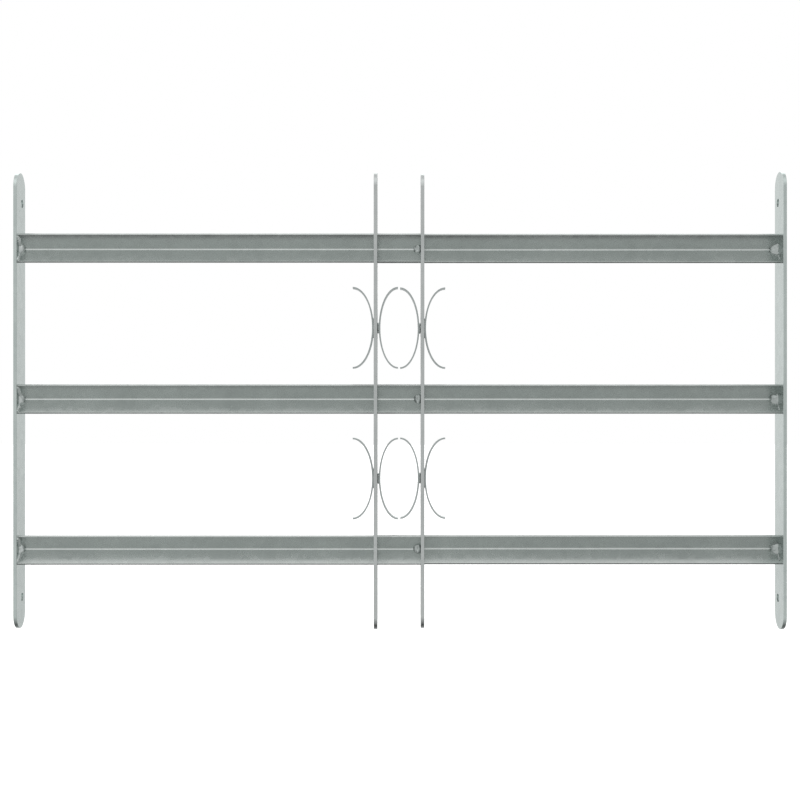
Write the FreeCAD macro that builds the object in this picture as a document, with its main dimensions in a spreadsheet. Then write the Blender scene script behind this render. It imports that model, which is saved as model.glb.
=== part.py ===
import FreeCAD, Part
import math
import os
import re
import Sketcher

# Adjustable window grille for fixing between the two sides of a window opening.
#
# It is two welded half frames of galvanised steel. Each half is a wall plate, three folded
# V rails and a guide bar with scrolls. The rails of the left half lie in front, inside the
# open V of the rails of the right half, and each guide bar has a V slot that the other
# half's rails slide through. The model is drawn fully out, when the inner scrolls all but
# meet.
#
# Frame: X runs from the left wall to the right wall, Y away from the room side, Z up.
# The origin is the middle of the left wall plate's screw holes, on the face that meets
# the wall.

doc = FreeCAD.newDocument("window_security_bar")


# ---------------------------------------------------------------------------
# Sizes: the driving dimensions in millimetres, then what follows from them
# ---------------------------------------------------------------------------

DRIVING = {
    "plate_height": (450, "wall plates and guide bars, top to bottom"),
    "plate_depth": (30, "flat bar width, front edge to back edge"),
    "plate_thickness": (3.5, "flat bar thickness"),
    "plate_edge_round": (0.4, "rolled rounding along the flat bar's edges"),
    "hole_radius": (4, "screw hole in a wall plate"),
    "hole_from_end": (30, "screw hole centre to the end of the plate"),
    "hole_from_front": (19, "screw hole centre to the plate's front edge"),
    "half_length": (402.4, "one half: wall plate's outer face to guide bar's outer face"),
    "rail_leg": (20.5, "V rail: width of one leg, outside"),
    "rail_thickness": (2, "V rail: sheet thickness"),
    "rail_bend": (1.5, "V rail: inside radius of the fold"),
    "rail_edge_round": (0.25, "V rail: rounding of the sheared edges"),
    "rail_from_end": (77, "top and bottom rails: fold line to the end of the plate"),
    "rail_rise": (1.3, "set of three rails above the middle of the plates"),
    "left_rail_toe": (1.1, "left rails' front edges behind the left plate's front edge"),
    "right_rail_heel": (3, "right rails' fold in front of the right plate's back edge"),
    "nest_clearance": (0.4, "gap between a left rail and the right rail around it"),
    "slot_clearance": (0.4, "gap around a rail in the guide bar that slides on it"),
    "strip_thickness": (1.5, "scroll strip thickness"),
    "strip_width": (12, "scroll strip width, front to back"),
    "outer_scroll_depth": (20.4, "scroll on a guide bar's outer side, back to tips"),
    "inner_scroll_depth": (18.9, "scroll on a guide bar's inner side, back to tips"),
    "outer_scroll_stand": (0.3, "outer scroll's back to the guide bar"),
    "inner_scroll_stand": (1.3, "inner scroll's back to the guide bar"),
    "scroll_gap": (2.1, "between the tips of facing inner scrolls, fully out"),
    "scroll_over": (23.5, "clear height between a scroll and the rail above it"),
    "scroll_under": (15.5, "clear height between a scroll and the rail below it"),
    "outer_pad_height": (20, "weld between an outer scroll and its bar, top to bottom"),
    "inner_pad_height": (11, "weld between an inner scroll and its bar, top to bottom"),
    "pad_width": (8, "weld between a scroll and its bar, front to back"),
    "pad_bite": (1.2, "reach of that weld into the scroll, where the two are fused"),
    "bead_leg": (2.5, "weld run inside a left rail at its wall plate"),
    "tack_radius": (7, "lump of weld in the fold of a rail"),
    "back_bead_leg": (2, "weld run behind a right rail at its guide bar"),
    "back_bead_length": (12, "reach of that run along each leg of the rail"),
}

DERIVED = {
    "rail_rows": "=plate_height / 2 - rail_from_end",
    "rail_depth": "=(rail_leg + rail_thickness) / sqrt(2)",
    "rail_height": "=rail_leg * sqrt(2)",
    "rail_length": "=half_length - 2 * plate_thickness",
    "fold_inside": "=rail_thickness * sqrt(2)",
    "overlap": "=2 * (plate_thickness + inner_scroll_stand + inner_scroll_depth) + scroll_gap",
    "overall_width": "=2 * half_length - overlap",
    "left_plate_x": "=0",
    "left_plate_face": "=plate_thickness",
    "left_bar_x": "=half_length - plate_thickness",
    "right_plate_x": "=overall_width - plate_thickness",
    "right_bar_x": "=overall_width - half_length",
    "right_bar_face": "=right_bar_x + plate_thickness",
    "left_front": "=-hole_from_front",
    "left_fold": "=left_front + left_rail_toe + rail_depth",
    "right_fold": "=left_fold + (rail_thickness + nest_clearance) * sqrt(2)",
    "right_front": "=right_fold + right_rail_heel - plate_depth",
    "slot_shift": "=slot_clearance * sqrt(2)",
    "scroll_height": "=rail_rows - rail_height - scroll_over - scroll_under",
    "scroll_centre": "=(rail_rows + scroll_under - scroll_over) / 2",
}

sheet = doc.addObject("Spreadsheet::Sheet", "Sizes")
row = 0
for name, (value, note) in DRIVING.items():
    row += 1
    sheet.set(f"A{row}", name)
    sheet.set(f"B{row}", str(value))
    sheet.set(f"C{row}", note)
    sheet.setAlias(f"B{row}", name)
for name, formula in DERIVED.items():
    row += 1
    sheet.set(f"A{row}", name)
    sheet.set(f"B{row}", formula)
    sheet.setAlias(f"B{row}", name)
doc.recompute()


def bind(thing, **formulas):
    """Bind properties to formulas over the sheet, such as Radius="hole_radius / 2"."""
    for prop, formula in formulas.items():
        thing.setExpression(prop.replace("__", "."), in_sheet(formula))


def in_sheet(formula):
    """Put the sheet's name before every size named in a formula."""
    names = "|".join([*DRIVING, *DERIVED])
    return re.sub(rf"\b({names})\b", r"Sizes.\1", formula)


def place(thing, x, y, z, rotation=None):
    """Set a thing down at x, y, z, each a formula over the sheet."""
    if rotation is not None:
        thing.Placement = FreeCAD.Placement(FreeCAD.Vector(0, 0, 0), rotation)
    bind(thing, Placement__Base__x=x, Placement__Base__y=y, Placement__Base__z=z)


# ---------------------------------------------------------------------------
# Sketches: all of them lie across the grille, with sketch X to the back and sketch Y up
# ---------------------------------------------------------------------------

def new_body(label):
    body = doc.addObject("PartDesign::Body", label)
    body.Label = label
    return body


def cross_sketch(body, name):
    """A sketch on the body's own YZ plane."""
    plane = next(f for f in body.Origin.OriginFeatures if f.Role == "YZ_Plane")
    sketch = body.newObject("Sketcher::SketchObject", name)
    sketch.AttachmentSupport = [(plane, "")]
    sketch.MapMode = "FlatFace"
    return sketch


def dimension(sketch, kind, *refs, name, formula, first_value):
    """Add a named dimension and bind it to the sheet."""
    index = sketch.addConstraint(Sketcher.Constraint(kind, *refs, first_value))
    sketch.renameConstraint(index, name)
    sketch.setExpression("Constraints." + name, in_sheet(formula))


START, END, MIDDLE = 1, 2, 3
ORIGIN, SKETCH_X, SKETCH_Y = (-1, 1), -1, -2


def draw_round_ended_bar(sketch):
    """Outline of a flat bar with half-round ends, its front edge on the sketch's Y axis."""
    radius = sheet.plate_depth / 2
    reach = sheet.plate_height / 2 - radius

    def at(x, y):
        return FreeCAD.Vector(x, y, 0)

    def half_round(y, from_angle):
        circle = Part.Circle(at(radius, y), FreeCAD.Vector(0, 0, 1), radius)
        return Part.ArcOfCircle(circle, from_angle, from_angle + math.pi)

    front = sketch.addGeometry(Part.LineSegment(at(0, reach), at(0, -reach)), False)
    bottom = sketch.addGeometry(half_round(-reach, math.pi), False)
    back = sketch.addGeometry(
        Part.LineSegment(at(2 * radius, -reach), at(2 * radius, reach)), False)
    top = sketch.addGeometry(half_round(reach, 0), False)
    for first, second in ((front, bottom), (bottom, back), (back, top), (top, front)):
        sketch.addConstraint(Sketcher.Constraint("Tangent", first, END, second, START))
    sketch.addConstraint(Sketcher.Constraint("PointOnObject", front, START, SKETCH_Y))
    sketch.addConstraint(Sketcher.Constraint("Symmetric", front, START, front, END, SKETCH_X))
    dimension(sketch, "Radius", top, name="end_round", formula="plate_depth / 2",
              first_value=radius)
    sketch.addConstraint(Sketcher.Constraint("Equal", top, bottom))
    dimension(sketch, "Distance", front, name="straight_edge",
              formula="plate_height - plate_depth", first_value=2 * reach)


def draw_v(sketch, clearance="0"):
    """Outline of a V rail, open to the front, with its outside corner at the sketch's origin.

    With a clearance it is the outline of the slot that such a rail slides through: every
    side moved out by the clearance. The folds are concentric arcs.
    """
    gap = sheet.slot_clearance if clearance != "0" else 0
    leg = sheet.rail_leg + 2 * gap
    wall = sheet.rail_thickness + 2 * gap
    inside = sheet.rail_bend - gap
    outside = inside + wall
    slope = math.sqrt(0.5)

    def at(up_leg, down_leg):
        """Point at these distances along the upper and the lower leg's outside."""
        return FreeCAD.Vector(-slope * (up_leg + down_leg), slope * (up_leg - down_leg), 0)

    def fold(radius):
        circle = Part.Circle(at(outside, outside), FreeCAD.Vector(0, 0, 1), radius)
        return Part.ArcOfCircle(circle, -math.pi / 4, math.pi / 4)

    def line(first, second):
        return sketch.addGeometry(Part.LineSegment(first, second), False)

    upper_outside = line(at(outside, 0), at(leg, 0))
    upper_edge = line(at(leg, 0), at(leg, wall))
    upper_inside = line(at(leg, wall), at(outside, wall))
    inner_fold = sketch.addGeometry(fold(inside), False)
    lower_inside = line(at(wall, outside), at(wall, leg))
    lower_edge = line(at(wall, leg), at(0, leg))
    lower_outside = line(at(0, leg), at(0, outside))
    outer_fold = sketch.addGeometry(fold(outside), False)

    def constrain(kind, *refs):
        sketch.addConstraint(Sketcher.Constraint(kind, *refs))

    constrain("Coincident", upper_outside, END, upper_edge, START)
    constrain("Coincident", upper_edge, END, upper_inside, START)
    constrain("Coincident", lower_inside, END, lower_edge, START)
    constrain("Coincident", lower_edge, END, lower_outside, START)
    constrain("Tangent", upper_inside, END, inner_fold, END)
    constrain("Tangent", inner_fold, START, lower_inside, START)
    constrain("Tangent", lower_outside, END, outer_fold, START)
    constrain("Tangent", outer_fold, END, upper_outside, START)
    constrain("Coincident", inner_fold, MIDDLE, outer_fold, MIDDLE)
    constrain("PointOnObject", outer_fold, MIDDLE, SKETCH_X)
    constrain("Symmetric", upper_edge, START, lower_edge, END, SKETCH_X)
    constrain("Symmetric", upper_edge, END, lower_edge, START, SKETCH_X)
    constrain("Perpendicular", upper_edge, upper_outside)
    constrain("Parallel", upper_inside, upper_outside)
    constrain("Perpendicular", upper_outside, lower_outside)
    wall_formula = f"rail_thickness + 2 * {clearance}"
    outside_formula = f"rail_bend - {clearance} + {wall_formula}"
    dimension(sketch, "Radius", inner_fold, name="inside_radius",
              formula=f"rail_bend - {clearance}", first_value=inside)
    dimension(sketch, "Distance", upper_edge, name="wall", formula=wall_formula,
              first_value=wall)
    dimension(sketch, "Distance", upper_outside, name="straight_leg",
              formula=f"rail_leg + 2 * {clearance} - ( {outside_formula} )",
              first_value=leg - outside)
    dimension(sketch, "DistanceX", outer_fold, MIDDLE, *ORIGIN, name="fold_centre",
              formula=f"( {outside_formula} ) * sqrt(2)",
              first_value=outside * math.sqrt(2))


# ---------------------------------------------------------------------------
# Wall plates, guide bars and rails
# ---------------------------------------------------------------------------

def pad(body, sketch, length):
    """Give the sketch its thickness, from the body's origin along X."""
    feature = body.newObject("PartDesign::Pad", sketch.Name + "_pad")
    feature.Profile = sketch
    bind(feature, Length=length)
    sketch.Visibility = False
    doc.recompute()
    return feature


def round_edges(body, feature, edges, radius):
    names = [f"Edge{i + 1}" for i, edge in enumerate(feature.Shape.Edges) if edges(edge)]
    fillet = body.newObject("PartDesign::Fillet", feature.Name + "_round")
    fillet.Base = (feature, names)
    bind(fillet, Radius=radius)
    doc.recompute()
    return fillet


def cut_through(body, sketch):
    """Cut the sketch through the plate, and make sure that it took material away."""
    before = body.Shape.Volume
    pocket = body.newObject("PartDesign::Pocket", sketch.Name + "_cut")
    pocket.Profile = sketch
    pocket.Type = "ThroughAll"
    pocket.Midplane = True
    doc.recompute()
    if body.Shape.Volume >= before:
        raise RuntimeError(f"{sketch.Name} cuts nothing")
    return pocket


def flat_bar(side, kind):
    """A length of flat bar with half-round ends and rounded edges."""
    body = new_body(f"{side}_{kind}")
    outline = cross_sketch(body, f"{side}_{kind}_outline")
    draw_round_ended_bar(outline)
    solid = pad(body, outline, "plate_thickness")

    def on_a_broad_face(edge):
        return all(abs(v.X - edge.Vertexes[0].X) < 1e-6 for v in edge.Vertexes)

    round_edges(body, solid, on_a_broad_face, "plate_edge_round")
    return body


def wall_plate(side):
    """Flat bar with a screw hole near each end."""
    body = flat_bar(side, "wall_plate")
    holes = cross_sketch(body, f"{side}_screw_holes")
    rise = sheet.plate_height / 2 - sheet.hole_from_end
    for sign in (1, -1):
        centre = FreeCAD.Vector(sheet.hole_from_front, sign * rise, 0)
        circle = Part.Circle(centre, FreeCAD.Vector(0, 0, 1), sheet.hole_radius)
        holes.addGeometry(circle, False)
    holes.addConstraint(Sketcher.Constraint("Symmetric", 0, MIDDLE, 1, MIDDLE, SKETCH_X))
    holes.addConstraint(Sketcher.Constraint("Equal", 0, 1))
    dimension(holes, "Radius", 0, name="hole", formula="hole_radius",
              first_value=sheet.hole_radius)
    dimension(holes, "DistanceX", *ORIGIN, 0, MIDDLE, name="from_front",
              formula="hole_from_front", first_value=sheet.hole_from_front)
    dimension(holes, "DistanceY", 1, MIDDLE, 0, MIDDLE, name="hole_spacing",
              formula="plate_height - 2 * hole_from_end", first_value=2 * rise)
    cut_through(body, holes)
    place(body, f"{side}_plate_x", f"{side}_front", "0")
    return body


def guide_bar(side, other):
    """Flat bar with three V slots, one for each rail of the other half."""
    body = flat_bar(side, "guide_bar")
    slot = cross_sketch(body, f"{side}_rail_slot")
    draw_v(slot, "slot_clearance")
    bind(slot, AttachmentOffset__Base__x=f"{other}_fold + slot_shift - {side}_front",
         AttachmentOffset__Base__y="rail_rise - rail_rows")
    lowest = cut_through(body, slot)
    one_slot = body.Shape.Volume
    row_of_slots = body.newObject("PartDesign::LinearPattern", f"{side}_rail_slots")
    row_of_slots.Originals = [lowest]
    row_of_slots.Direction = (slot, ["V_Axis"])
    row_of_slots.Occurrences = 3
    bind(row_of_slots, Length="2 * rail_rows")
    body.Tip = row_of_slots
    doc.recompute()
    if body.Shape.Volume >= one_slot:
        raise RuntimeError(f"{side} guide bar has only one slot")
    place(body, f"{side}_bar_x", f"{side}_front", "0")
    return body


def rail(side, level, start):
    """One V rail, its fold to the back, lying along X between plate and guide bar."""
    body = new_body(f"{side}_{level}_rail")
    section = cross_sketch(body, f"{side}_{level}_section")
    draw_v(section)
    solid = pad(body, section, "rail_length")

    def sheared_edge(edge):
        first, last = edge.Vertexes[0].Point, edge.Vertexes[-1].Point
        return abs(last.x - first.x) > 1 and abs(first.z) > sheet.rail_leg / 2

    round_edges(body, solid, sheared_edge, "rail_edge_round")
    place(body, start, f"{side}_fold", RAIL_ROW[level])
    return body


RAIL_ROW = {
    "top": "rail_rise + rail_rows",
    "middle": "rail_rise",
    "bottom": "rail_rise - rail_rows",
}
OTHER = {"left": "right", "right": "left"}
RAIL_START = {"left": "left_plate_face", "right": "right_bar_face"}

nodes = []
rails = {}
for side, other in OTHER.items():
    nodes.append(wall_plate(side))
    nodes.append(guide_bar(side, other))
    for level in RAIL_ROW:
        rails[side, level] = rail(side, level, RAIL_START[side])
        nodes.append(rails[side, level])


# ---------------------------------------------------------------------------
# Scrolls: strips bent to half an ellipse, backs to a guide bar, tips pointing away
# ---------------------------------------------------------------------------

SCROLL_ROW = {
    "upper": "rail_rise + scroll_centre",
    "lower": "rail_rise + scroll_centre - rail_rows",
}
UP = FreeCAD.Vector(0, 0, 1)
RIGHT = FreeCAD.Vector(1, 0, 0)
BACK = FreeCAD.Vector(0, 1, 0)


def scroll(side, kind, level):
    """One scroll of a guide bar. Its back is to the bar, so its tips point away from it.

    The strip's middle line is a half ellipse, and the strip's section is swept along it.
    """
    toward_right = (side == "left") == (kind == "outer")
    sign = "+" if toward_right else "-"
    face = f"{side}_bar_x + plate_thickness" if toward_right else f"{side}_bar_x"
    tips = f"{face} {sign} ( {kind}_scroll_stand + {kind}_scroll_depth )"
    middle = f"{side}_front + plate_depth / 2"
    label = f"{side}_{kind}_{level}_scroll"

    line = doc.addObject("Part::Ellipse", label + "_line")
    line.Angle1 = 0
    line.Angle2 = 180
    bind(line, MajorRadius="( scroll_height - strip_thickness ) / 2",
         MinorRadius=f"{kind}_scroll_depth - strip_thickness / 2")
    to_back = RIGHT * (-1 if toward_right else 1)
    place(line, tips, middle, SCROLL_ROW[level],
          FreeCAD.Rotation(UP, to_back, UP.cross(to_back), "XYZ"))

    section = doc.addObject("Part::Plane", label + "_section")
    bind(section, Length="strip_width", Width="strip_thickness")
    place(section, tips, middle + " - strip_width / 2",
          SCROLL_ROW[level] + " + scroll_height / 2 - strip_thickness",
          FreeCAD.Rotation(BACK, UP, RIGHT, "XYZ"))

    strip = doc.addObject("Part::Sweep", label)
    strip.Sections = [section]
    strip.Spine = (line, ["Edge1"])
    strip.Solid = True
    strip.Frenet = True
    strip.Label = label
    return strip


def scroll_weld(strip, side, kind, level):
    """Weld that fills the narrow gap between a scroll's back and the guide bar."""
    toward_right = (side == "left") == (kind == "outer")
    reach = f"( {kind}_scroll_stand + pad_bite )"
    start = f"{side}_bar_x + plate_thickness" if toward_right else f"{side}_bar_x - {reach}"
    block = doc.addObject("Part::Box", strip.Name + "_weld_block")
    bind(block, Length=reach, Width="pad_width", Height=f"{kind}_pad_height")
    place(block, start, f"{side}_front + ( plate_depth - pad_width ) / 2",
          SCROLL_ROW[level] + f" - {kind}_pad_height / 2")
    weld = doc.addObject("Part::Cut", strip.Name + "_weld")
    weld.Base = block
    weld.Tool = strip
    return weld


def group(label, pieces):
    """Like pieces that share one node."""
    compound = doc.addObject("Part::Compound", label)
    compound.Links = pieces
    compound.Label = label
    return compound


for side in OTHER:
    welds = []
    for kind in ("outer", "inner"):
        for level in SCROLL_ROW:
            strip = scroll(side, kind, level)
            nodes.append(strip)
            welds.append(scroll_weld(strip, side, kind, level))
    nodes.append(group(f"{side}_scroll_welds", welds))


# ---------------------------------------------------------------------------
# Welds that hold the rails to the plates and guide bars
# ---------------------------------------------------------------------------

UP_LEG = FreeCAD.Vector(0, -1, 1).normalize()
DOWN_LEG = FreeCAD.Vector(0, -1, -1).normalize()


def leg_frame(outward):
    """Local X and Z along the two legs of a rail, local Y out from the plate it meets."""
    first, second = (DOWN_LEG, UP_LEG) if outward > 0 else (UP_LEG, DOWN_LEG)
    return FreeCAD.Rotation(first, RIGHT * outward, second, "XYZ")


def rail_block(name, side, level, face, outward, reach, depth):
    """Block in the corner between a rail's two legs and the face that it meets."""
    block = doc.addObject("Part::Box", name)
    bind(block, Length=reach, Width=depth, Height=reach)
    place(block, face, f"{side}_fold - fold_inside", RAIL_ROW[level], leg_frame(outward))
    return block


def rail_wedge(name, side, level, face, outward, wide, narrow, far, depth, setback):
    """Block whose sides along the legs lie at 'wide' on the face and 'narrow' out from it."""
    wedge = doc.addObject("Part::Wedge", name)
    bind(wedge, Xmin=wide, Zmin=wide, X2min=narrow, Z2min=narrow, Xmax=far, Zmax=far,
         X2max=far, Z2max=far, Ymin="0", Ymax=depth)
    place(wedge, face, f"{side}_fold - {setback}", RAIL_ROW[level], leg_frame(outward))
    return wedge


def boolean(kind, name, base, tool):
    result = doc.addObject(kind, name)
    result.Base = base
    result.Tool = tool
    return result


def inside_bead(side, level, face, outward):
    """Weld run along both inner sides of a rail, triangular in section."""
    name = f"{side}_{level}_bead"
    block = rail_block(name + "_block", side, level, face, outward,
                       "rail_leg - rail_thickness - bead_leg", "bead_leg")
    hollow = rail_wedge(name + "_hollow", side, level, face, outward, "bead_leg", "0",
                        "rail_leg", "bead_leg", "fold_inside")
    run = boolean("Part::Cut", name + "_run", block, hollow)
    return boolean("Part::Cut", name, run, rails[side, level])


def back_bead(side, level, face, outward):
    """Weld run along both outer sides of a rail, clear of the rail that slides inside it."""
    name = f"{side}_{level}_back_bead"
    run = rail_wedge(name + "_run", side, level, face, outward, "-1 * back_bead_leg", "0",
                     "back_bead_length", "back_bead_leg", "0")
    hollow = rail_block(name + "_hollow", side, level, face, outward, "rail_leg",
                        "back_bead_leg")
    open_run = boolean("Part::Cut", name + "_open", run, hollow)
    return boolean("Part::Cut", name, open_run, rails[side, level])


def fold_tack(side, level, face, outward):
    """Round lump of weld in the fold of a rail, against the plate or bar it meets."""
    name = f"{side}_{level}_tack"
    ball = doc.addObject("Part::Sphere", name + "_ball")
    bind(ball, Radius="tack_radius")
    place(ball, face, f"{side}_fold - fold_inside", RAIL_ROW[level])
    corner = rail_block(name + "_corner", side, level, face, outward, "tack_radius",
                        "tack_radius")
    lump = boolean("Part::Common", name + "_lump", ball, corner)
    return boolean("Part::Cut", name, lump, rails[side, level])


RAIL_WELDS = {
    "left_plate_welds": (inside_bead, "left", "left_plate_face", 1),
    "left_bar_welds": (fold_tack, "left", "left_bar_x", -1),
    "right_bar_welds": (back_bead, "right", "right_bar_face", 1),
    "right_plate_welds": (fold_tack, "right", "right_plate_x", -1),
}
for label, (make, side, face, outward) in RAIL_WELDS.items():
    nodes.append(group(label, [make(side, level, face, outward) for level in RAIL_ROW]))


# ---------------------------------------------------------------------------
# Check the document and write one STEP file for each piece
# ---------------------------------------------------------------------------

doc.recompute()
for thing in doc.Objects:
    if {"Invalid", "Error"} & set(thing.State):
        raise RuntimeError(f"{thing.Label} failed: {thing.State}")

os.makedirs("parts", exist_ok=True)
for node in nodes:
    shape = node.Shape
    if shape.isNull() or not shape.isValid() or not shape.Solids:
        raise RuntimeError(f"{node.Label} has no valid solid")
    shape.exportStep(f"parts/{node.Label}.step")
    box = shape.BoundBox
    print(f"{node.Label:30s} {len(shape.Solids)} solid(s) {shape.Volume:10.1f} mm3  "
          f"x {box.XMin:7.1f} {box.XMax:7.1f}  y {box.YMin:6.1f} {box.YMax:6.1f}  "
          f"z {box.ZMin:7.1f} {box.ZMax:7.1f}")
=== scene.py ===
import math
import bpy
import numpy as np
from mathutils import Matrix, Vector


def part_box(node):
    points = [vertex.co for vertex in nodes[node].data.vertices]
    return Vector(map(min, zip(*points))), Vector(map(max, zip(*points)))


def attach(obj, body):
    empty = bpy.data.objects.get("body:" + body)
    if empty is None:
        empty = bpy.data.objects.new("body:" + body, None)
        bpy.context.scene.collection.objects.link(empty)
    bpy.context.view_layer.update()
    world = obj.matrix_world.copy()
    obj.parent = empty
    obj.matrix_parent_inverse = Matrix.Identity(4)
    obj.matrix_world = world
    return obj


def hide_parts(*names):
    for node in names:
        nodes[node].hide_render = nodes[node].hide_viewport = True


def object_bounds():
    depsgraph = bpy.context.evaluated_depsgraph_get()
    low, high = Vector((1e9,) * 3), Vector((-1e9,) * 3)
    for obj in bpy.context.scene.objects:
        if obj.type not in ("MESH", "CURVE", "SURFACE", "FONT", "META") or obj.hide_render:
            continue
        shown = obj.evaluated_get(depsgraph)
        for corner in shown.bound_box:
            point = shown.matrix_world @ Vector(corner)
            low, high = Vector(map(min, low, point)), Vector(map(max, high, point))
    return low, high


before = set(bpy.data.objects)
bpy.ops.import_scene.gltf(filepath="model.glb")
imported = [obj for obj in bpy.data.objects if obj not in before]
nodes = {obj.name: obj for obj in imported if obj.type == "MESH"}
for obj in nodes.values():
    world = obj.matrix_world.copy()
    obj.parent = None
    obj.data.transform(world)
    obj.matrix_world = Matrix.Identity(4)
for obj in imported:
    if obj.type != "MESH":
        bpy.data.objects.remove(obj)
cad_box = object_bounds()


# ---------------------------------------------------------------------------
# Wall plates
# 30 x 3.5 mm hot-rolled flat bar, ends cropped to a half round and two screw holes punched.
# The finished half is dipped in molten zinc, which freezes into faint crystals and drains
# toward the lower end; zinc stands thicker and brighter along the edges.
# ---------------------------------------------------------------------------

MM = 0.001
PER_METRE = 1.0 / MM
SPANGLE = 6.0            # mm, width of one zinc crystal
ROLLING_MARK = 1.2       # mm, spacing of the marks that the mill leaves, under the zinc
CLOUD = 45.0             # mm, width of the patches where the bath ran off unevenly
GRIT = 1.5               # mm, pimples of dross; the real ones are finer, and would shimmer
EDGE = 0.7               # mm, reach of the thicker zinc at an edge


def srgb(code):
    """A hex colour, such as "a3a8a6", as linear red, green, blue and alpha."""
    parts = [int(code[i:i + 2], 16) / 255 for i in (0, 2, 4)]
    return [c / 12.92 if c <= 0.04045 else ((c + 0.055) / 1.055) ** 2.4 for c in parts] + [1.0]


def add(tree, kind, settings=(), **inputs):
    """Add a shader node. An input's name has _ for a space, or is _ and its number."""
    node = tree.nodes.new("ShaderNode" + kind)
    for name, value in dict(settings).items():
        setattr(node, name, value)
    for name, value in inputs.items():
        socket = node.inputs[int(name[1:]) if name[1:].isdigit() else name.replace("_", " ")]
        if isinstance(value, bpy.types.NodeSocket):
            tree.links.new(value, socket)
        else:
            socket.default_value = value
    return node


def share(tree, socket, amount, plus):
    """(socket - 0.5) * amount + plus, for a pattern that runs from 0 to 1."""
    centred = add(tree, "Math", {"operation": "SUBTRACT"}, _0=socket, _1=0.5).outputs[0]
    return add(tree, "Math", {"operation": "MULTIPLY_ADD"}, _0=centred, _1=amount,
               _2=plus).outputs[0]


def zinc(name, dull, bright, rough, along, spangle=SPANGLE, marks=1.0, relief=0.12):
    """Hot-dip galvanised steel: crystals, clouds, mill marks, dross and bright edges.

    dull and bright are the zinc's darkest and lightest colour, and along squeezes the mill
    marks, axis by axis, so that they run lengthwise on the bar.
    """
    material = bpy.data.materials.new(name)
    material.use_nodes = True
    tree = material.node_tree
    shader = tree.nodes["Principled BSDF"]
    shader.inputs["Metallic"].default_value = 1.0
    place = add(tree, "TexCoord").outputs["Object"]

    warp = add(tree, "TexNoise", Vector=place, Scale=PER_METRE / 8, Detail=2.0)
    pushed = add(tree, "VectorMath", {"operation": "MULTIPLY_ADD"}, _0=warp.outputs["Color"],
                 _1=(0.004, 0.004, 0.004), _2=place)
    crystals = add(tree, "TexVoronoi", Vector=pushed.outputs[0], Scale=PER_METRE / spangle)
    tone = add(tree, "SeparateColor", Color=crystals.outputs["Color"])
    clouds = add(tree, "TexNoise", Vector=place, Scale=PER_METRE / CLOUD, Detail=4.0,
                 Roughness=0.6).outputs[0]
    squeezed = add(tree, "VectorMath", {"operation": "MULTIPLY"}, _0=place, _1=along)
    mill = add(tree, "TexNoise", Vector=squeezed.outputs[0], Scale=PER_METRE / ROLLING_MARK,
               Detail=3.0, Roughness=0.55).outputs[0]
    grit = add(tree, "TexNoise", Vector=place, Scale=PER_METRE / GRIT, Detail=4.0,
               Roughness=0.7).outputs[0]

    rounded = add(tree, "Bevel", {"samples": 6}, Radius=EDGE * MM)
    flat = add(tree, "NewGeometry").outputs["Normal"]
    facing = add(tree, "VectorMath", {"operation": "DOT_PRODUCT"}, _0=rounded.outputs[0],
                 _1=flat)
    broken = share(tree, grit, 0.05, facing.outputs["Value"])
    edge = add(tree, "MapRange", {"clamp": True}, Value=broken, From_Min=0.99, From_Max=0.86,
               To_Min=0.0, To_Max=1.0).outputs[0]

    shade = share(tree, tone.outputs[0], 0.22, 0.5)
    shade = share(tree, clouds, 1.0, shade)
    shade = share(tree, mill, 0.28 * marks, shade)
    shade = share(tree, grit, 0.08, shade)
    shade = add(tree, "Math", {"operation": "MULTIPLY_ADD"}, _0=edge, _1=0.45, _2=shade)
    colour = add(tree, "Mix", {"data_type": "RGBA", "clamp_factor": True},
                 _0=shade.outputs[0], _6=srgb(dull), _7=srgb(bright))
    tree.links.new(colour.outputs[2], shader.inputs["Base Color"])

    matt = share(tree, tone.outputs[1], 0.10, rough)
    matt = share(tree, clouds, 0.16, matt)
    matt = share(tree, grit, 0.10, matt)
    matt = add(tree, "Math", {"operation": "MULTIPLY_ADD"}, _0=edge, _1=-0.08, _2=matt)
    tree.links.new(matt.outputs[0], shader.inputs["Roughness"])

    height = share(tree, mill, 0.6 * marks, 0.0)
    height = share(tree, crystals.outputs["Distance"], 0.5, height)
    height = share(tree, grit, 0.7, height)
    bump = add(tree, "Bump", Height=height, Strength=relief, Distance=0.4 * MM)
    tree.links.new(bump.outputs[0], shader.inputs["Normal"])
    return material


def give(node, material):
    """Put the material in a CAD node's slots."""
    mesh = nodes[node].data
    mesh.materials.clear()
    mesh.materials.append(material)


# Galvanised hot-rolled flat bar: a pale, slightly green grey with a satin sheen.
plate_zinc = zinc("galvanised_wall_plate", "a8b1af", "bfc8c5", 0.25, (1.0, 1.0, 0.04),
                  relief=0.06)
give("left_wall_plate", plate_zinc)
give("right_wall_plate", plate_zinc)


# ---------------------------------------------------------------------------
# Guide bars
# The same flat bar with three V slots punched through its face for the other half's rails,
# welded to the ends of its own half's three rails.
# ---------------------------------------------------------------------------

# Galvanised flat bar: the same satin sheen, in a more neutral grey.
bar_zinc = zinc("galvanised_guide_bar", "abafae", "c0c4c3", 0.25, (1.0, 1.0, 0.04),
                relief=0.06)
give("left_guide_bar", bar_zinc)
give("right_guide_bar", bar_zinc)


# ---------------------------------------------------------------------------
# Rails
# 2 mm sheet folded to a right-angled V on a press brake, open to the front. The brake's
# tool leaves lengthwise marks, which show through the zinc.
# ---------------------------------------------------------------------------

# Galvanised folded sheet: paler and a little smoother than the flat bar.
rail_zinc = zinc("galvanised_folded_sheet", "b8bdbb", "c8cdcb", 0.24, (0.03, 1.0, 1.0),
                 marks=0.7, relief=0.04)
for side in ("left", "right"):
    for level in ("top", "middle", "bottom"):
        give(f"{side}_{level}_rail", rail_zinc)


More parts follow.
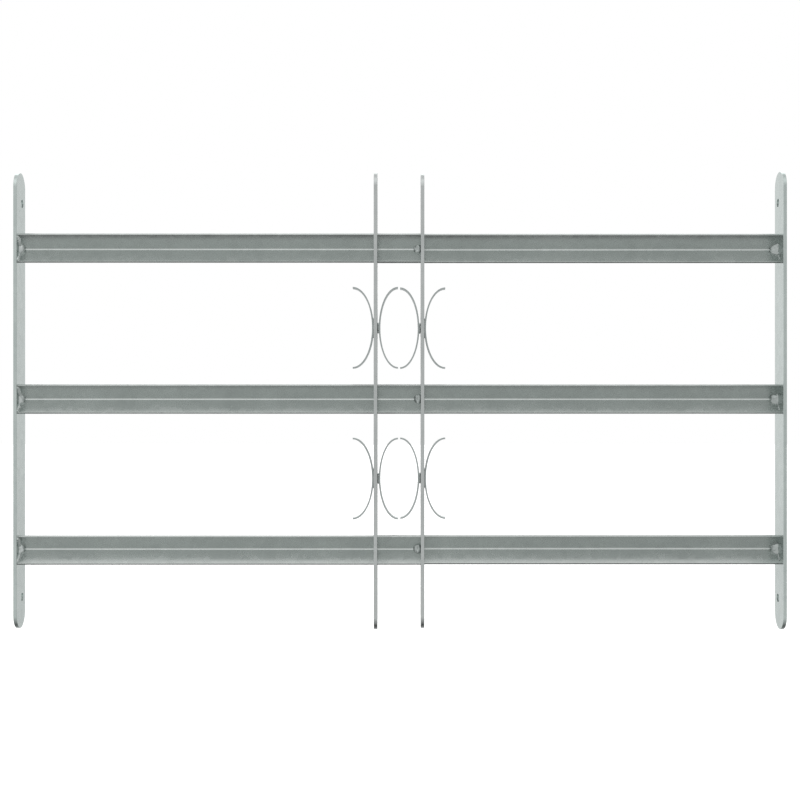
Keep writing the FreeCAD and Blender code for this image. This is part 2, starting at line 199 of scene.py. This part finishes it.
# ---------------------------------------------------------------------------
# Scrolls
# 12 x 1.5 mm strip bent round a former to half an ellipse and tacked to a guide bar.
# ---------------------------------------------------------------------------

# Galvanised strip: darker and duller, with small crystals, because thin strip cools fast.
strip_zinc = zinc("galvanised_bent_strip", "9aa09f", "b2b8b7", 0.40, (1.0, 0.15, 1.0),
                  spangle=4.0)
for side in ("left", "right"):
    for kind in ("outer", "inner"):
        for level in ("upper", "lower"):
            give(f"{side}_{kind}_{level}_scroll", strip_zinc)


# ---------------------------------------------------------------------------
# Weld runs inside the left rails, at the wall plate
# A hand-laid fillet run follows both legs of each V where it meets the plate, over a puddle
# that fills the crease. It is rippled, uneven in width, and dipped in zinc with the rest.
# ---------------------------------------------------------------------------

LEG_THICKNESS = 2.0 * MM
FOLD_INSIDE = 1.5 * MM         # radius of the fold's inner side
HALF_ROOT = 0.5 ** 0.5         # cosine of 45 degrees, the slope of each leg
RUN_LEG = 2.5 * MM             # the run's reach on the plate and on the rail
RUN_RIPPLE = 1.3 * MM          # from one ripple to the next
RUN_STOP = 1.2 * MM            # short of the rail's edges
FILL = (4.9 * MM, 5.2 * MM)    # the puddle in the crease: along the rail, and to the front
FILL_TOE = 0.2                 # its spread on the plate, as a share of its reach
TOE_REACH = 1.1 * MM           # how far from the plate the spread fades
PUDDLE_POWER = 2.3             # 2 is a round puddle, more is a flatter one


def bumps(points, size, seed):
    """Smooth unevenness of about -1 to 1 and the given size: a sum of random sine waves."""
    random = np.random.default_rng(seed)
    waves = random.normal(size=(10, 3)) / size
    turns = random.uniform(0, 2 * np.pi, 10)
    return np.sin(points @ waves.T + turns).sum(axis=-1) / 10 ** 0.5


def skin(rings):
    """Points and faces of a closed surface through rings (count, around, 3).

    The first and last ring are single points, repeated. Faces are turned to look outward.
    """
    count, around = rings.shape[:2]
    points = np.concatenate([rings[0, :1], rings[1:-1].reshape(-1, 3), rings[-1, :1]])
    first = 1 + np.arange(around)
    following = 1 + (np.arange(around) + 1) % around
    last = len(points) - 1
    lower = (np.arange(count - 3) * around)[:, None]
    sides = np.stack([first + lower, following + lower, following + lower + around,
                      first + lower + around], axis=-1).reshape(-1, 4)
    start = np.stack([np.zeros_like(first), following, first], axis=-1)
    shift = (count - 3) * around
    end = np.stack([np.full_like(first, last), first + shift, following + shift], axis=-1)
    faces = [tuple(f) for f in np.concatenate([start, end]).tolist()]
    faces += [tuple(f) for f in sides.tolist()]
    a, b, c = (points[sides[:, i]] - points.mean(axis=0) for i in (0, 1, 2))
    if np.einsum("ij,ij->i", a, np.cross(b, c)).sum() < 0:
        faces = [face[::-1] for face in faces]
    return points, faces


def weld_piece(name, surfaces, body, node, material):
    """One object of several closed surfaces, in place of a CAD node's welds."""
    points = np.concatenate([p for p, _ in surfaces])
    starts = np.cumsum([0] + [len(p) for p, _ in surfaces])
    faces = [tuple(i + start for i in face)
             for (_, own), start in zip(surfaces, starts) for face in own]
    mesh = bpy.data.meshes.new(name)
    mesh.from_pydata(points.tolist(), [], faces)
    mesh.polygons.foreach_set("use_smooth", np.ones(len(faces), dtype=bool))
    mesh.set_sharp_from_angle(angle=math.radians(50))
    mesh.materials.append(material)
    piece = bpy.data.objects.new(name, mesh)
    bpy.context.scene.collection.objects.link(piece)
    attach(piece, body)
    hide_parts(node)
    return piece


def fold_centre(rail):
    """Y and Z of the centre of a rail's fold, round which both its sides bend."""
    low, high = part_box(rail)
    return high[1] - LEG_THICKNESS - FOLD_INSIDE, (low[2] + high[2]) / 2


def fillet_run(face_x, outward, centre, radius, into, span, leg, swell, seed):
    """Fillet weld along a V: rings of the section, from one end to the other.

    s is the way along the V from its crease; the V's surface is an arc of this radius about
    the centre with its tangents at 45 degrees. The section is a right triangle with its face
    bulged, r = leg / (cos f + sin f) * (1 + 0.22 sin 2f), where f runs from the rail to the
    plate; ripples lag at its middle and bumps make it uneven. Its reach along the rail grows
    by the share swell toward the crease. into is 1 where the weld is outside the V and -1
    where it is inside, and outward is its side of the plate along X.
    """
    s = np.linspace(span[0], span[1], 181)[:, None]
    f = np.linspace(0, np.pi / 2, 13)[None, :]
    quarter = radius * np.pi / 4
    bend = np.clip(s, -quarter, quarter) / radius
    past = s - np.clip(s, -quarter, quarter)
    y = centre[0] + radius * np.cos(bend) - np.abs(past) * HALF_ROOT
    z = centre[1] + radius * np.sin(bend) + past * HALF_ROOT
    turn = np.pi / 4 * np.tanh(s / max(quarter, 2.6 * MM))
    size = leg / (np.cos(f) + np.sin(f)) * (1 + 0.22 * np.sin(2 * f))
    spot = np.stack(np.broadcast_arrays(s, f * leg, 0 * s), axis=-1)
    ripple = np.sin(2 * np.pi * (s / RUN_RIPPLE + 0.45 * np.sin(2 * f)))
    size = size * (0.84 + 0.05 * ripple + 0.13 * bumps(spot, 2.4 * MM, seed)
                   + 0.07 * bumps(spot, 0.8 * MM, seed + 1))
    along = (2 * s - span[0] - span[1]) / (span[1] - span[0])
    size = size * np.clip(1 - np.abs(along) ** 12, 0, 1) ** 0.5
    crease = 1 - np.abs(s) / np.abs(span).max()
    out = np.minimum(size * np.cos(f) ** 0.7, leg) * (1 + swell * crease)
    over = np.minimum(size * np.sin(f), leg)
    face = np.stack([face_x + outward * out,
                     y + into * over * np.cos(turn),
                     z + into * over * np.sin(turn)], axis=-1)
    root = np.stack(np.broadcast_arrays(face_x + 0 * s, y, z), axis=-1)
    return skin(np.concatenate([face, root], axis=1))


def puddle(corner, outward, reach, crater, toe, seed):
    """Weld that fills the corner of two legs at 45 degrees and a plate.

    With x from the plate, y from the crease toward the front and z up, the weld is where
    x > 0, |z| < y and ((x / a)^q + (y / b)^q + (z / 1.5b)^q)^(1/q) < 1, where a and b are its
    reaches. Bumps, rings, the crater and the toe, which spreads on the plate or, below 0,
    draws in to a neck, alter the 1. A ray from a point inside leaves it once, so its surface
    is found by halving along rays.
    """
    up = np.linspace(0, np.pi, 61)[:, None]
    turn = np.linspace(0, 2 * np.pi, 96, endpoint=False)[None, :]
    ray = np.stack([np.sin(up) * np.cos(turn), np.sin(up) * np.sin(turn),
                    np.cos(up) + 0 * turn], axis=-1)
    inside = np.array([0.36 * reach[0], 0.6 * reach[1], 0.0])
    scale = np.array([reach[0], reach[1], 1.5 * reach[1]])
    near = np.zeros(ray.shape[:2])
    far = np.full(ray.shape[:2], 3 * max(reach))
    for _ in range(26):
        way = (near + far) / 2
        p = inside + ray * way[..., None]
        limit = 1 + 0.06 * bumps(p, 2.4 * MM, seed) + 0.015 * bumps(p, 0.7 * MM, seed + 1)
        limit = limit + toe * np.exp(-p[..., 0] / TOE_REACH)
        limit = limit + 0.012 * np.sin(2 * np.pi * np.linalg.norm(p[..., :2], axis=-1)
                                       / RUN_RIPPLE)
        off = np.hypot(p[..., 0] - 0.45 * reach[0], p[..., 2]) / reach[1]
        limit = limit - crater * np.exp(-(off / 0.35) ** 2)
        size = (np.abs(p / scale) ** PUDDLE_POWER).sum(axis=-1) ** (1 / PUDDLE_POWER)
        within = (p[..., 0] > 0) & (np.abs(p[..., 2]) < p[..., 1]) & (size < limit)
        near = np.where(within, way, near)
        far = np.where(within, far, way)
    local = inside + ray * near[..., None]
    return skin(np.array(corner) + local * [outward, -1, 1])


def corner_of(rail, face_x):
    """The point where a rail's two inner sides would meet, on a face that it is welded to."""
    y, z = fold_centre(rail)
    return [face_x, y + FOLD_INSIDE * 2 ** 0.5, z]


# Galvanised weld metal: the zinc takes heavier on it, so it is paler and rougher than the bar.
weld_zinc = zinc("galvanised_weld_run", "adb3b1", "d4dad8", 0.34, (1.0, 1.0, 1.0),
                 spangle=2.5, marks=0.3, relief=0.15)
plate_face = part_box("left_wall_plate")[1][0]
runs = []
for number, level in enumerate(("top", "middle", "bottom")):
    low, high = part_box(f"left_{level}_rail")
    leg_reach = (high[2] - low[2]) * HALF_ROOT - LEG_THICKNESS - RUN_STOP
    runs.append(fillet_run(plate_face, 1, fold_centre(f"left_{level}_rail"), FOLD_INSIDE, -1,
                           (-leg_reach, leg_reach), RUN_LEG, 0.3, 10 + number))
    runs.append(puddle(corner_of(f"left_{level}_rail", plate_face), 1, FILL, 0.0,
                       FILL_TOE, 14 + 2 * number))
weld_piece("left_plate_weld_runs", runs, "left_half", "left_plate_welds", weld_zinc)


# ---------------------------------------------------------------------------
# Weld lumps in the rails' folds
# Where a left rail meets its guide bar, and a right rail its wall plate, one puddle of weld
# fills the fold. It froze round; those at the bar keep a shallow crater from the arc.
# ---------------------------------------------------------------------------

BAR_LUMP = (6.9 * MM, 5.0 * MM)        # its reach along the rail, and toward the front
PLATE_LUMP = (6.9 * MM, 5.6 * MM)
CRATER = 0.12                  # depth of the crater, as a share of the lump
BAR_NECK = -0.25               # the lump draws in beside the bar
PLATE_TOE = 0.2
TAIL = (-15.0 * MM, -4.0 * MM)  # the run that trails down the lower leg from it
TAIL_LEG = 1.5 * MM


# The same weld zinc in a darker, duller colour. The darkness is painted shade for the rail's
# fold that each lump fills.
fold_shaded_lump_zinc = zinc("galvanised_weld_lump_painted_shade", "959b99", "b2b8b6", 0.34, (1.0, 1.0, 1.0),
                 spangle=2.5, marks=0.3, relief=0.15)
bar_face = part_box("left_guide_bar")[0][0]
far_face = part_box("right_wall_plate")[0][0]
bar_lumps = []
plate_lumps = []
for number, level in enumerate(("top", "middle", "bottom")):
    at_bar = corner_of(f"left_{level}_rail", bar_face)
    at_plate = corner_of(f"right_{level}_rail", far_face)
    bar_lumps.append(puddle(at_bar, -1, BAR_LUMP, CRATER, BAR_NECK, 20 + 2 * number))
    plate_lumps.append(puddle(at_plate, -1, PLATE_LUMP, 0.0, PLATE_TOE, 30 + 2 * number))
    plate_lumps.append(fillet_run(far_face, -1, fold_centre(f"right_{level}_rail"),
                                  FOLD_INSIDE, -1, TAIL, TAIL_LEG, 0.0, 40 + number))
weld_piece("left_bar_weld_lumps", bar_lumps, "left_half", "left_bar_welds", fold_shaded_lump_zinc)
weld_piece("right_plate_weld_lumps", plate_lumps, "right_half", "right_plate_welds", fold_shaded_lump_zinc)


# ---------------------------------------------------------------------------
# Weld runs behind the right rails, at their guide bar
# The left rails slide inside the right ones, so these are welded round the outside of the
# fold, from behind.
# ---------------------------------------------------------------------------

BACK_LEG = 2.0 * MM
BACK_REACH = 11.2 * MM         # along each leg from the crease
back_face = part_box("right_guide_bar")[1][0]
back_runs = [
    fillet_run(back_face, 1, fold_centre(f"right_{level}_rail"), FOLD_INSIDE + LEG_THICKNESS,
               1, (-BACK_REACH, BACK_REACH), BACK_LEG, 0.0, 50 + number)
    for number, level in enumerate(("top", "middle", "bottom"))]
weld_piece("right_bar_weld_runs", back_runs, "right_half", "right_bar_welds", weld_zinc)


# ---------------------------------------------------------------------------
# Welds between scrolls and guide bars
# A short run of weld fills the narrow gap between each scroll's back and its bar's face.
# ---------------------------------------------------------------------------

PAD_WIDTH = 8.0 * MM
PAD_HEIGHT = {"outer": 20.0 * MM, "inner": 11.0 * MM}


def gap_weld(bar_x, outward, stand, depth, middle, height, half_scroll, width, seed):
    """Weld in the gap between a flat bar and the back of a scroll, along Z.

    The gap at height z is stand + depth * (1 - sqrt(1 - (z / half_scroll)^2)), from the
    scroll's ellipse. The section is a superellipse with powers of 0.35, and its width
    ripples as the run does.
    """
    z = np.linspace(-1, 1, 61)[:, None] * height / 2
    f = np.linspace(0, 2 * np.pi, 40, endpoint=False)[None, :]
    gap = stand + depth * (1 - np.sqrt(1 - (z / half_scroll) ** 2)) + 0.25 * MM
    end = np.clip(1 - np.abs(2 * z / height) ** 6, 0, 1) ** 0.5
    spot = np.stack(np.broadcast_arrays(z, f * MM, 0 * z), axis=-1)
    half = width / 2 * end * (0.86 + 0.05 * np.sin(2 * np.pi * z / RUN_RIPPLE)
                              + 0.08 * bumps(spot, 1.2 * MM, seed))
    cos, sin = np.cos(f), np.sin(f)
    across = np.sign(cos) * np.abs(cos) ** 0.35
    along = np.sign(sin) * np.abs(sin) ** 0.35
    half = np.minimum(half, width / 2)
    ring = np.stack(np.broadcast_arrays(bar_x + outward * gap * (0.5 + 0.5 * across * end),
                                        middle[1] + half * along, middle[2] + z), axis=-1)
    return skin(ring)


for side, mirror in (("left", 1), ("right", -1)):
    bar_low, bar_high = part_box(f"{side}_guide_bar")
    pads = []
    for kind in ("outer", "inner"):
        toward = mirror if kind == "outer" else -mirror
        face = bar_high[0] if toward > 0 else bar_low[0]
        for number, level in enumerate(("upper", "lower")):
            low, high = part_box(f"{side}_{kind}_{level}_scroll")
            back = low[0] if toward > 0 else high[0]
            stand = abs(back - face)
            middle = [(low[i] + high[i]) / 2 for i in range(3)]
            pads.append(gap_weld(face, toward, stand, high[0] - low[0], middle,
                                 PAD_HEIGHT[kind], (high[2] - low[2]) / 2, PAD_WIDTH,
                                 60 + 4 * number + (toward > 0)))
    weld_piece(f"{side}_scroll_weld_runs", pads, f"{side}_half", f"{side}_scroll_welds",
               weld_zinc)


# ---------------------------------------------------------------------------
# Studio
# Plain white paper floor and a soft white room: brightest overhead, dim below, a little
# brighter on the left, with three soft patches that lift edges and faces of the steel.
# ---------------------------------------------------------------------------

FLOOR_HALF = 12.0              # metres, from its middle to an edge
FLOOR_BELOW = 0.22             # metres under the grille
FRONT, BACK = 0.85, 0.98       # the room's brightness before and behind the grille
# Height in the room, from 0 straight down to 1 overhead, and its brightness there.
LEVELS = ((0.0, 0.14), (0.05, 0.30), (0.30, 0.86), (0.50, 1.0), (0.84, 1.02), (1.0, 1.06))
LEFT_EXTRA = 0.2               # brighter on the left, and dimmer on the right, by this share
# Extra light half way up behind, half way up in front and half way down in front: above or
# below level, its amount, and the direction's Y times Z where it starts and where it is full.
PATCHES = (
    ("GREATER_THAN", 1.6, 0.2, 0.47),
    ("GREATER_THAN", 0.5, -0.25, -0.48),
    ("LESS_THAN", 0.2, 0.05, 0.3))

low, high = cad_box
floor_z = low[2] - FLOOR_BELOW
floor_mesh = bpy.data.meshes.new("paper_floor")
floor_mesh.from_pydata([(-FLOOR_HALF, -FLOOR_HALF, floor_z), (FLOOR_HALF, -FLOOR_HALF, floor_z),
                        (FLOOR_HALF, FLOOR_HALF, floor_z), (-FLOOR_HALF, FLOOR_HALF, floor_z)],
                       [], [(0, 1, 2, 3)])
floor = bpy.data.objects.new("paper_floor", floor_mesh)
bpy.context.scene.collection.objects.link(floor)
floor.visible_glossy = False
paper = bpy.data.materials.new("white_paper")
paper.use_nodes = True
paper_shader = paper.node_tree.nodes["Principled BSDF"]
paper_shader.inputs["Base Color"].default_value = srgb("f4f4f4")
paper_shader.inputs["Roughness"].default_value = 0.9
paper_shader.inputs["Specular IOR Level"].default_value = 0.0
paper_shader.inputs["Emission Color"].default_value = srgb("ffffff")
paper_shader.inputs["Emission Strength"].default_value = 0.16
floor_mesh.materials.append(paper)

world = bpy.data.worlds.new("studio")
world.use_nodes = True
bpy.context.scene.world = world
room = world.node_tree
background = room.nodes["Background"]
background.inputs["Color"].default_value = srgb("ffffff")
way = add(room, "SeparateXYZ", Vector=add(room, "TexCoord").outputs["Generated"])
climb = add(room, "MapRange", Value=way.outputs["Z"], From_Min=-1.0, From_Max=1.0)
ramp = add(room, "ValToRGB", _0=climb.outputs[0])
stops = ramp.color_ramp.elements
for index, (position, value) in enumerate(LEVELS):
    stop = stops[index] if index < 2 else stops.new(position)
    stop.position = position
    stop.color = (value / 2, value / 2, value / 2, 1.0)
depth_level = add(room, "MapRange", Value=way.outputs["Y"], From_Min=-1.0, From_Max=1.0,
                  To_Min=FRONT, To_Max=BACK)
level = add(room, "Math", {"operation": "MULTIPLY"}, _0=ramp.outputs[0],
            _1=depth_level.outputs[0])
level = add(room, "Math", {"operation": "MULTIPLY"}, _0=level.outputs[0], _1=2.0)
across = add(room, "MapRange", Value=way.outputs["X"], From_Min=-1.0, From_Max=1.0,
             To_Min=1.0 + LEFT_EXTRA, To_Max=1.0 - LEFT_EXTRA)
level = add(room, "Math", {"operation": "MULTIPLY"}, _0=level.outputs[0],
            _1=across.outputs[0])
lean = add(room, "Math", {"operation": "MULTIPLY"}, _0=way.outputs["Y"], _1=way.outputs["Z"])
for rule, amount, least, most in PATCHES:
    lift = add(room, "MapRange", {"clamp": True}, Value=lean.outputs[0], From_Min=least,
               From_Max=most, To_Min=0.0, To_Max=amount)
    here = add(room, "Math", {"operation": rule}, _0=way.outputs["Z"], _1=0.0)
    level = add(room, "Math", {"operation": "MULTIPLY_ADD"}, _0=lift.outputs[0],
                _1=here.outputs[0], _2=level.outputs[0])
seen = add(room, "Mix", {"data_type": "FLOAT"},
           _0=add(room, "LightPath").outputs["Is Camera Ray"], _2=level.outputs[0], _3=1.0)
room.links.new(seen.outputs[0], background.inputs["Strength"])


# ---------------------------------------------------------------------------
# Camera
# Square on to the grille, 1.3 m in front, level with its middle.
# ---------------------------------------------------------------------------

VIEW_DISTANCE = 1.300          # metres in front of the foremost edge
FOCAL = 60.1                   # mm, on a 36 mm wide frame
RIGHT_OF_MIDDLE = 0.0009       # metres
ABOVE_MIDDLE = 0.0004

camera_data = bpy.data.cameras.new("camera")
camera_data.lens = FOCAL
camera = bpy.data.objects.new("camera", camera_data)
bpy.context.scene.collection.objects.link(camera)
camera.location = ((low[0] + high[0]) / 2 + RIGHT_OF_MIDDLE, low[1] - VIEW_DISTANCE,
                   (low[2] + high[2]) / 2 + ABOVE_MIDDLE)
camera.rotation_euler = (math.pi / 2, 0, 0)
bpy.context.scene.camera = camera
bpy.context.scene.view_settings.view_transform = "Standard"
